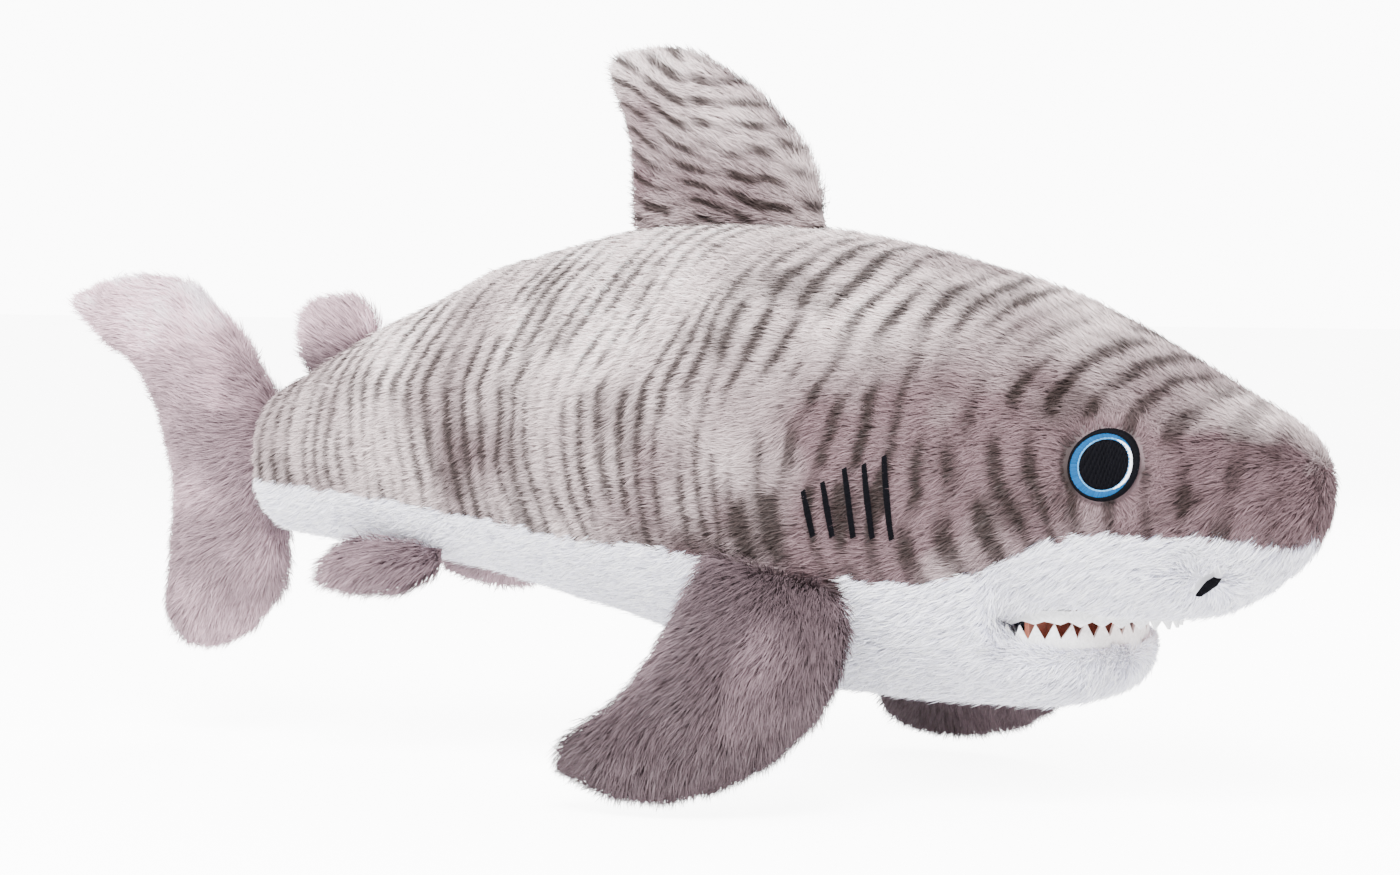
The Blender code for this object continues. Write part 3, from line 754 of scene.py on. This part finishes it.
def lay_from_stitching(lay, points):
    """The lay with the pile brushed away from the eyes and the nostrils."""
    on_side = np.abs(points[:, 1]) > SIDE_MARGIN
    for centre, near, far in (
        (EYE_CENTRE, EYE_RADIUS, EYE_RADIUS + 9 * MM),
        (np.mean(NOSTRIL, axis=0), 2 * MM, 17 * MM),
    ):
        away = np.zeros_like(points)
        away[:, 0] = points[:, 0] - centre[0]
        away[:, 2] = points[:, 2] - centre[1]
        share = smoothstep(far, near, flat_distance(points, centre))
        lay = mix(lay, unit(away), share * on_side)
    return lay


def body_lay(points, white):
    """The way the pile is brushed on the body: back from the nose, and away from the stitching."""
    x, y, z = points.T
    lay = np.zeros_like(points)
    lay[:, 0] = -1
    lay[:, 1] = 0.12 * np.sign(y) * smoothstep(80 * MM, 115 * MM, z)
    lay[:, 2] = -0.30 * smoothstep(112 * MM, 60 * MM, z)
    from_nose = unit(points - NOSE_TIP) + (-0.5, 0, 0)
    from_nose[:, 2] += 0.15 - 0.5 * smoothstep(8 * MM, 25 * MM, np.abs(y))
    lay = mix(lay, from_nose, smoothstep(15 * MM, 85 * MM, x) * 0.9)
    return lay_from_stitching(lay_round_mouth(lay, points, white), points)


def body_length(points, white, mouth_gap):
    """The pile's length over the body: shorter near stitching, the mouth and the seams."""
    length = np.where(white, WHITE_LENGTH, BODY_PILE)
    eye = flat_distance(points, EYE_CENTRE) - EYE_RADIUS
    length = length * (0.62 + 0.38 * smoothstep(0, 6 * MM, eye))
    bars = np.min([bar_distance(points, ends) for ends in (*GILLS, NOSTRIL)], axis=0)
    length *= 0.55 + 0.45 * smoothstep(0.5 * MM, 4 * MM, bars)
    length *= 0.65 + 0.35 * smoothstep(2 * MM, 8 * MM, mouth_gap)
    return length


def bare(points, fin_gap):
    """Roots that would grow through the stitching, inside the mouth or under a fin."""
    x, y, z = points.T
    side = np.abs(y) > SIDE_MARGIN
    eye = side & (flat_distance(points, EYE_CENTRE) < EYE_RADIUS - 0.2 * MM)
    bars = [side & (bar_distance(points, ends) < BAR_GAP) for ends in (*GILLS, NOSTRIL)]
    reach = np.where(z > MOUTH_MIDDLE_Z, UPPER_REACH, LOWER_REACH)
    within = ((x - MOUTH_CORNER_X) / reach) ** 2 + (y / MOUTH_HALF_WIDTH) ** 2 < 1
    mouth = within & (x > MOUTH_CORNER_X + 1.5 * MM) & (z > MOUTH_FLOOR_Z) & (z < MOUTH_ROOF_Z)
    return eye | np.any(bars, axis=0) | mouth | (fin_gap < FIN_GAP)


def under_pectoral(points, fin_gap):
    """The strip of striped fabric that the top of a pectoral fin is sewn over."""
    return (fin_gap < HEM_UNDER_FIN) & (points[:, 2] > 26 * MM) & (points[:, 0] > -80 * MM)


def body_fields(points):
    """How far each point is past the seam into the white fabric, and from the mouth and the fins."""
    border = distances(points, STRIPED_NODES) - distances(points, WHITE_NODES)
    border -= NOSE_HEM * smoothstep(*NOSE_HEM_X, points[:, 0])
    fin_panels = [node for panels, *_ in FINS.values() for node in panels]
    return {
        "border": border,
        "mouth_gap": distances(points, ["mouth_lining"]),
        "fin_gap": distances(points, fin_panels),
    }


def grow_body_pile(skin, fields):
    """The body's pile, white or striped by which side of the seam its root is on."""
    roots = Roots(skin, BODY_DENSITY, 5, fields)
    roots.only(~bare(roots.points, roots.fields["fin_gap"]))
    points = roots.points
    ragged = 0.6 * MM * TINT_NOISE(points, 2.2 * MM)
    white = (roots.fields["border"] + ragged > 0) & ~under_pectoral(points, roots.fields["fin_gap"])

    def colour(places):
        return np.where(white[:, None], white_colour(places), body_colour(places))

    # Painted shade at the pile's roots, bluish grey under the white pile.
    shade = np.where(white[:, None], PALE_ROOT_SHADE, DARK_ROOT_SHADE)
    length = body_length(points, white, roots.fields["mouth_gap"])
    lift = np.where(white, WHITE_LIFT, BODY_LIFT)
    lay = body_lay(points, white)
    # Painted light at the tips of the body's pile.
    pile("body_pile", roots, lay, length, lift, BODY_SWIRL, colour, shade, BODY_TIP_LIGHT, "body", 6)


def build_body():
    """The body's skin and pile, striped above the seam and white below it."""
    nodes = STRIPED_NODES + WHITE_NODES + ["body_stuffing", "jaw_stuffing"]
    seams = [(STRIPED_NODES, WHITE_NODES), (STRIPED_NODES[:1], STRIPED_NODES[1:])]
    skin = fabric_skin("body_skin", nodes, BODY_VOXEL, seams, body_shape)
    points = coordinates(skin.data)
    fields = body_fields(points)
    white = (fields["border"] > 0) & ~under_pectoral(points, fields["fin_gap"])
    # The skin is painted darker than its pile: painted shade under the pile.
    paint(skin.data, np.where(white[:, None], white_colour(points), body_colour(points)) * BODY_SKIN_SHADE)
    skin.data.materials.append(PILE_MATERIAL)
    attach(skin, "body")
    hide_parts(*nodes)
    grow_body_pile(skin, fields)
    return skin


# ---- fins ----

# Each fin's panels; its hinge point and the way from there into the body; how far its root is tucked
# in, and how far from the hinge its outline is stretched in full; the point its pile is brushed away
# from; its colour, and the length of its pile. All but that length are in mm.
FINS = {
    "dorsal_fin": (
        ["dorsal_fin_panel_left", "dorsal_fin_panel_right"],
        (-65, 0, 121.5), (0, 0, -1), (11, 34),
        (0, 0, 95), dorsal_colour, DORSAL_PILE,
    ),
    "second_dorsal": (
        ["second_dorsal_panel_left", "second_dorsal_panel_right"],
        (-193, 0, 84), (0.24, 0, -0.97), (9, 12),
        (-175, 0, 72), mauve_colour(0.9, 3.2, 80, 96), FIN_PILE,
    ),
    "caudal_fin": (
        ["caudal_fin_panel_left", "caudal_fin_panel_right"],
        (-214.5, 0, 55), (1, 0, 0), (7, 34),
        (-180, 0, 72), mauve_colour(1.6, 4.6, 62, 118), FIN_PILE,
    ),
}
for side_name, side_sign in (("left", 1), ("right", -1)):
    FINS[f"pectoral_{side_name}"] = (
        [f"pectoral_{side_name}_top", f"pectoral_{side_name}_bottom"],
        (-21.5, 50.5 * side_sign, 34.5), (0.1, -0.5 * side_sign, 0.86), (6, 34),
        (-12, 38 * side_sign, 55), mauve_colour(0.50, 0.66, -15, 30), FIN_PILE,
    )
    FINS[f"pelvic_{side_name}"] = (
        [f"pelvic_{side_name}_top", f"pelvic_{side_name}_bottom"],
        (-158, 19 * side_sign, 34.5), (0.1, -0.74 * side_sign, 0.66), (6, 34),
        (-140, 10 * side_sign, 48), mauve_colour(1.5, 1.2, 10, 30), FIN_PILE,
    )

TAIL_FOLD = ((-277, 3, 104), (-259, 6, 79))  # the fold's top and foot, in mm
FOLD_THICKNESS, FOLD_WIDTH = 3.0 * MM, 6.5 * MM  # half its size across
BURIED = 2 * MM  # no pile grows deeper than this inside the body


def depth_inside(points, body):
    """How far each point lies inside the body's skin, negative outside it."""
    depths = np.empty(len(points))
    for index, point in enumerate(points):
        place, normal, _, _ = body.find_nearest(Vector(point))
        depths[index] = (place - Vector(point)).dot(normal)
    return depths


def fin_pile(name, roots, lay, length, swirl, colour, body, seed):
    """Pile of one length and lift on a fin."""
    count = len(roots.points)
    lengths, lifts = np.full(count, length), np.full(count, FIN_LIFT)
    # Painted shade at the roots and painted light at the tips.
    pile(name, roots, lay, lengths, lifts, swirl, colour, DARK_ROOT_SHADE, FIN_TIP_LIGHT, body, seed)


def build_fin(name, body, panels, hinge, inward, reaches, brushed_from, colour, length, seed):
    """A fin's skin, tucked into the body at its root, and its pile."""
    hinge, inward = np.array(hinge) * MM, np.array(inward)
    tuck_reach, stretch_reach = np.array(reaches) * MM

    def shaped(points):
        offset = points - hinge
        tuck = inward * (smoothstep(-3 * MM - tuck_reach, 0, offset @ inward) * tuck_reach)[:, None]
        far = np.linalg.norm(offset, axis=1, keepdims=True)
        return points + tuck + unit(offset) * smoothstep(6 * MM, stretch_reach, far) * FIN_STRETCH

    nodes = [*panels, f"{name}_stuffing"]
    skin = fabric_skin(f"{name}_skin", nodes, FIN_VOXEL, [(panels[:1], panels[1:])], shaped)
    points = coordinates(skin.data)
    # The skin is painted darker than its pile: painted shade under the pile.
    paint(skin.data, colour(points) * FIN_SKIN_SHADE)
    skin.data.materials.append(PILE_MATERIAL)
    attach(skin, name)
    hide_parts(*nodes)
    roots = Roots(skin, FIN_DENSITY, seed, {"depth": depth_inside(points, body)})
    roots.only(roots.fields["depth"] < BURIED)
    lay = unit(roots.points - np.array(brushed_from) * MM)
    fin_pile(f"{name}_pile", roots, lay, length, FIN_SWIRL, colour, name, seed + 1)
    return skin


def build_tail_fold():
    """The tip of the tail's upper lobe, folded over so that it hangs behind the lobe."""
    top, foot = np.array(TAIL_FOLD) * MM
    shape = bmesh.new()
    bmesh.ops.create_icosphere(shape, subdivisions=4, radius=1)
    mesh = mesh_of("tail_fold_skin", shape)
    along = foot - top
    across = np.cross(along / np.linalg.norm(along), (0, 1, 0))
    axes = np.stack([along * 0.5, np.array((0, FOLD_THICKNESS, 0)), across * FOLD_WIDTH])
    set_coordinates(mesh, (top + foot) / 2 + coordinates(mesh) @ axes)
    mesh.shade_smooth()
    skin = link("tail_fold_skin", mesh)
    # A darker tone than the lobe's at these heights: painted shade on the fold, which hangs behind the
    # lobe.
    colour = mauve_colour(1.9, 3.0, 84, 106)
    # The skin is painted darker than its pile: painted shade under the pile.
    paint(mesh, colour(coordinates(mesh)) * FIN_SKIN_SHADE)
    mesh.materials.append(PILE_MATERIAL)
    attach(skin, "caudal_fin")
    roots = Roots(skin, FIN_DENSITY, 91, {})
    lay = unit(roots.points - top + along * 0.3)
    fin_pile("tail_fold_pile", roots, lay, FOLD_PILE, FOLD_SWIRL, colour, "caudal_fin", 92)


# ---- mouth ----

TOOTH_COUNT, FELT = 18, 0.8 * MM

# Each row of teeth, in mm: how far out it reaches to the sides and in front, the heights of its root
# and of its valleys, and those of its tips at the corners and in front. The last value is its seed.
TEETH = {
    "lower": (30.5, 21.5, 12, 17.8, (21.4, 22.0), 71),
    "upper": (28.6, 33, 25, 22.4, (21.6, 19.9), 72),
}


def tooth_outline(half_width, reach, root, valley, tips, seed):
    """Rings of four corners along a felt strip whose edge is cut in uneven teeth, in mm."""
    random = np.random.default_rng(seed)
    rings = []
    count = 2 * TOOTH_COUNT
    for index in range(count + 1):
        uneven = random.uniform(-0.25, 0.25) if 0 < index < count else 0
        angle = -math.pi / 2 + math.pi * (index + uneven) / count
        front = math.cos(angle) ** 2
        tip = tips[0] + (tips[1] - tips[0]) * front + random.uniform(-0.4, 0.4)
        end = tip if index % 2 else valley
        ring = []
        for inset, heights in ((0, (root, end)), (FELT / MM, (end, root))):
            x = MOUTH_CORNER_X / MM - 4 + (reach - inset) * math.cos(angle)
            y = (half_width - inset) * math.sin(angle)
            ring += [(x, y, height) for height in heights]
        rings.append(ring)
    return rings


def tooth_row(name, material):
    """A felt strip round the lip, cut in teeth."""
    shape = bmesh.new()
    rings = []
    for outline in tooth_outline(*TEETH[name]):
        rings.append([shape.verts.new(Vector(corner) * MM) for corner in outline])
    for one, other in zip(rings, rings[1:]):
        for corner in range(4):
            after = (corner + 1) % 4
            shape.faces.new((one[corner], other[corner], other[after], one[after]))
    shape.faces.new(rings[0])
    shape.faces.new(reversed(rings[-1]))
    bmesh.ops.recalc_face_normals(shape, faces=shape.faces)
    row = link(f"teeth_{name}", mesh_of(f"teeth_{name}", shape))
    row.data.materials.append(material)
    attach(row, "body")
    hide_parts(f"{name}_teeth")


def build_mouth():
    """White felt teeth in two rows, in front of the terracotta lining."""
    felt = felt_material("white_felt_look", FELT_WHITE, 1.2 * MM)
    for name in TEETH:
        tooth_row(name, felt)
    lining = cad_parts["mouth_lining"]
    lining.data.materials.clear()
    lining.data.materials.append(felt_material("terracotta_lining", TERRACOTTA, 2.0 * MM))


# ---- embroidery ----


class Patch:
    """The body's skin as embroidery finds it, looking straight at it from one side."""

    def __init__(self, tree, side):
        self.tree = tree
        self.side = side

    def lift(self, plan, height):
        """Places (x, up) put on the skin, raised by a height for each."""
        points = np.empty((len(plan), 3))
        for index, (x, z) in enumerate(plan):
            aim = Vector((x, self.side * 0.2, z))
            hit, normal, _, _ = self.tree.ray_cast(aim, Vector((0, -self.side, 0)))
            points[index] = hit + normal * height[index]
        return points


THREAD_WIDTH, THREAD_HEIGHT, STITCH_DOME = 0.42 * MM, 0.2 * MM, 0.28 * MM
STITCH_RINGS = 5
EYE_HEIGHT, BAR_HEIGHT = 1.5 * MM, 1.7 * MM  # how far the stitches' backing stands off the skin
STITCH_PITCH, FILL_STITCH = 0.36 * MM, 3.2 * MM  # from row to row, and along a row of the eye's filling

EYE_SQUEEZE = 0.93
IRIS_SHARE, PUPIL_SHARE, IRIS_SHIFT = 0.87, 0.70, np.array((-0.065, -0.02))  # of the eye's radius
RIM_STITCHES, SHINE_STITCHES, RING_STITCHES = 190, 62, 44
SHINE_FROM, SHINE_TO = -62, 66  # degrees round the pupil, from the front
GILL_WIDTHS, GILL_SLANT = (1.4, 1.8, 1.6), 0.25  # in mm, from the top down
NOSTRIL_WIDTHS, NOSTRIL_SLANT = (1.2, 1.9, 1.4, 0.8), 0.5


def stitches(patch, starts, ends, colour, base, seed):
    """Satin stitches from starts to ends (x, up), each a rounded thread arching over the fabric."""
    random = np.random.default_rng(seed)
    count = len(starts)
    shares = np.linspace(0, 1, STITCH_RINGS)
    plan = starts[:, None] * (1 - shares)[None, :, None] + ends[:, None] * shares[None, :, None]
    uneven = random.uniform(0, 0.08, (count, 1)) * MM
    dome = base + STITCH_DOME * np.sin(math.pi * shares)[None, :] + uneven
    centre = patch.lift(plan.reshape(-1, 2), dome.ravel()).reshape(count, STITCH_RINGS, 3)
    along = unit(centre[:, -1] - centre[:, 0])
    out = np.array((0.0, patch.side, 0.0))
    across = unit(np.cross(along, out))[:, None, :] * THREAD_WIDTH / 2
    rings = np.stack([centre - across, centre + out * THREAD_HEIGHT, centre + across], axis=2)
    tone = np.array(colour) * (1 + random.normal(0, 0.10, count))[:, None]
    tones = np.clip(np.repeat(tone[:, None], STITCH_RINGS * 3, axis=1), 0, 1)
    return rings.reshape(count, STITCH_RINGS * 3, 3), tones


def sewn(name, groups, nodes):
    """One piece made of groups of stitches, standing for its CAD nodes."""
    points = np.concatenate([group[0] for group in groups])
    tones = np.concatenate([group[1] for group in groups])
    piece = strips(name, points, tones, STITCH_RINGS, 3, False, THREAD_MATERIAL)
    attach(piece, "body")
    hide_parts(*nodes)


def on_circle(centre, radius, angles):
    """Points round a circle, drawn narrower where the slanting cheek will widen it."""
    return centre + radius * np.stack([EYE_SQUEEZE * np.cos(angles), np.sin(angles)], axis=1)


def fill_rows(centre, radius):
    """Upright rows of short stitches that fill a circle, their ends staggered from row to row."""
    starts, ends = [], []
    columns = int(2 * radius / STITCH_PITCH)
    for column in range(columns + 1):
        x = -radius + (column + 0.5) * STITCH_PITCH
        half = math.sqrt(max(radius**2 - x**2, 0))
        z = -half + FILL_STITCH * ((column * 0.37) % 1 - 1)
        while z < half:
            low, high = max(z, -half), min(z + FILL_STITCH, half)
            if high - low > 0.2 * MM:
                starts.append(centre + (x * EYE_SQUEEZE, low))
                ends.append(centre + (x * EYE_SQUEEZE, high))
            z += FILL_STITCH
    return np.array(starts), np.array(ends)


def eye_layers(centre, radius):
    """Each layer of an eye's stitches, from the bottom up: starts, ends, colour and height (mm)."""
    iris_centre = centre + radius * IRIS_SHIFT
    iris, pupil = IRIS_SHARE * radius, PUPIL_SHARE * radius
    turns = np.linspace(0, 2 * math.pi, RIM_STITCHES, endpoint=False)
    shine = np.radians(np.linspace(SHINE_FROM, SHINE_TO, SHINE_STITCHES))
    swell = np.sin(np.linspace(0.25, math.pi - 0.25, SHINE_STITCHES))[:, None]
    inner = on_circle(centre, pupil, shine)
    outer = inner + (on_circle(iris_centre, iris, shine) - inner) * swell
    ring = np.linspace(0, 2 * math.pi, RING_STITCHES, endpoint=False)
    edge = pupil * 1.02
    return (
        (on_circle(iris_centre, iris * 0.97, turns), on_circle(centre, radius, turns), BLACK_THREAD, 0),
        (on_circle(centre, pupil * 0.98, turns), on_circle(iris_centre, iris, turns), BLUE_THREAD, 0.1),
        (inner, outer, HIGHLIGHT_THREAD, 0.3),
        (on_circle(centre, edge, ring), on_circle(centre, edge, ring + 0.17), PALE_BLUE_THREAD, 0.25),
        (*fill_rows(centre, pupil * 0.97), BLACK_THREAD, 0.15),
    )


def build_eye(patch, side_name):
    """A satin-stitched eye: black rim, blue iris, black pupil and a white highlight in front."""
    groups = []
    layers = eye_layers(EYE_CENTRE, EYE_RADIUS)
    for seed, (starts, ends, colour, height) in enumerate(layers, start=81):
        groups.append(stitches(patch, starts, ends, colour, EYE_HEIGHT + height * MM, seed))
    sewn(f"eye_stitching_{side_name}", groups, [f"eye_{side_name}"])


def satin_bar(patch, ends, widths, slant):
    """A bar of short stitches across its length, its width following a profile."""
    top, foot = ends
    length = np.linalg.norm(foot - top)
    along = (foot - top) / length
    across = np.array((along[1], -along[0]))
    count = int(length / STITCH_PITCH)
    shares = (np.arange(count) + 0.5) / count
    half = np.interp(shares, np.linspace(0, 1, len(widths)), widths)[:, None] * MM / 2
    middle = top + shares[:, None] * (foot - top)
    reach = across * half + along * slant * MM
    return stitches(patch, middle - reach, middle + reach, BLACK_THREAD, BAR_HEIGHT, 90)


def build_bars(patch, side_name):
    """The five gill slits and the nostril."""
    bars = [satin_bar(patch, ends, GILL_WIDTHS, GILL_SLANT) for ends in GILLS]
    nodes = [f"gill_slit_{side_name}_{number}" for number in range(1, 6)]
    sewn(f"gill_stitching_{side_name}", bars, nodes)
    nostril = satin_bar(patch, NOSTRIL, NOSTRIL_WIDTHS, NOSTRIL_SLANT)
    sewn(f"nostril_stitching_{side_name}", [nostril], [f"nostril_{side_name}"])


# ---- stage ----

CENTRE = Vector((-0.075, 0.0, 0.064))
CAMERA_AZIMUTH, CAMERA_RISE, CAMERA_DISTANCE = math.radians(32), math.radians(2.5), 1.15
CAMERA_WIDTH = 0.371  # width of the view at the centre
WORLD_LIGHT, WORLD_SEEN = 1.7, 11.0  # the white surroundings as light, and as the backdrop
FLOOR_LIGHT, FLOOR_SEEN = 0.3, 8.0  # the same for the floor's own glow
FLOOR_REACH = 6.0
LIGHTS = {  # place, size and power
    "key": ((0.35, -0.9, 0.95), 0.7, 56),
    "fill": ((-0.9, -0.7, 0.5), 0.9, 15),
    "rim": ((-0.3, 0.9, 0.8), 0.7, 18),
}


def build_camera():
    """The photograph's viewing angle: from the shark's front right, just above level."""
    data = bpy.data.cameras.new("camera")
    data.sensor_width = 36
    data.lens = data.sensor_width * CAMERA_DISTANCE / CAMERA_WIDTH
    camera = link("camera", data)
    flat = math.cos(CAMERA_RISE)
    east, south = math.sin(CAMERA_AZIMUTH) * flat, math.cos(CAMERA_AZIMUTH) * flat
    away = Vector((east, -south, math.sin(CAMERA_RISE)))
    camera.location = CENTRE + away * CAMERA_DISTANCE
    camera.rotation_euler = (-away).to_track_quat("-Z", "Y").to_euler()
    bpy.context.scene.camera = camera


def area_light(name, place, size, power):
    """A soft square light aimed at the shark."""
    data = bpy.data.lights.new(name, "AREA")
    data.size = size
    data.energy = power
    light = link(name, data)
    light.location = place
    light.rotation_euler = (CENTRE - Vector(place)).to_track_quat("-Z", "Y").to_euler()


def camera_switch(nodes, links, unseen, seen, socket):
    """Drive a strength by one value for the camera and another for the light it gives."""
    path = nodes.new("ShaderNodeLightPath")
    strength = nodes.new("ShaderNodeMapRange")
    set_inputs(strength, {"To Min": unseen, "To Max": seen})
    links.new(path.outputs["Is Camera Ray"], strength.inputs["Value"])
    links.new(strength.outputs["Result"], socket)


def build_floor():
    """A pale floor just under the shark."""
    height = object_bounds()[0][2] - 1 * MM
    mesh = bpy.data.meshes.new("floor")
    corners = [(x * FLOOR_REACH, y * FLOOR_REACH, height) for x, y in ((-1, -1), (1, -1), (1, 1), (-1, 1))]
    mesh.from_pydata(corners, [], [(0, 1, 2, 3)])
    floor = link("floor", mesh)
    made, nodes, links, shader = node_material("floor")
    set_inputs(shader, {"Base Color": (0.95, 0.95, 0.95, 1), "Roughness": 0.9})
    set_inputs(shader, {"Emission Color": (1, 1, 1, 1)})
    camera_switch(nodes, links, FLOOR_LIGHT, FLOOR_SEEN, shader.inputs["Emission Strength"])
    floor.data.materials.append(made)


def build_world():
    """White surroundings."""
    world = bpy.data.worlds.new("world")
    world.use_nodes = True
    nodes, links = world.node_tree.nodes, world.node_tree.links
    background = nodes["Background"]
    set_inputs(background, {"Color": (1, 1, 1, 1)})
    camera_switch(nodes, links, WORLD_LIGHT, WORLD_SEEN, background.inputs["Strength"])
    bpy.context.scene.world = world


def build_stage():
    """A pale floor, a pale world and three soft lights."""
    build_floor()
    build_world()
    for name, (place, size, power) in LIGHTS.items():
        area_light(name, place, size, power)


body_skin = build_body()
body_tree = surface([body_skin.data])
for order, fin_name in enumerate(FINS):
    build_fin(fin_name, body_tree, *FINS[fin_name], 100 + 10 * order)
build_tail_fold()
build_mouth()
for side_name, side_sign in (("left", 1), ("right", -1)):
    side_patch = Patch(body_tree, side_sign)
    build_eye(side_patch, side_name)
    build_bars(side_patch, side_name)
build_stage()
build_camera()
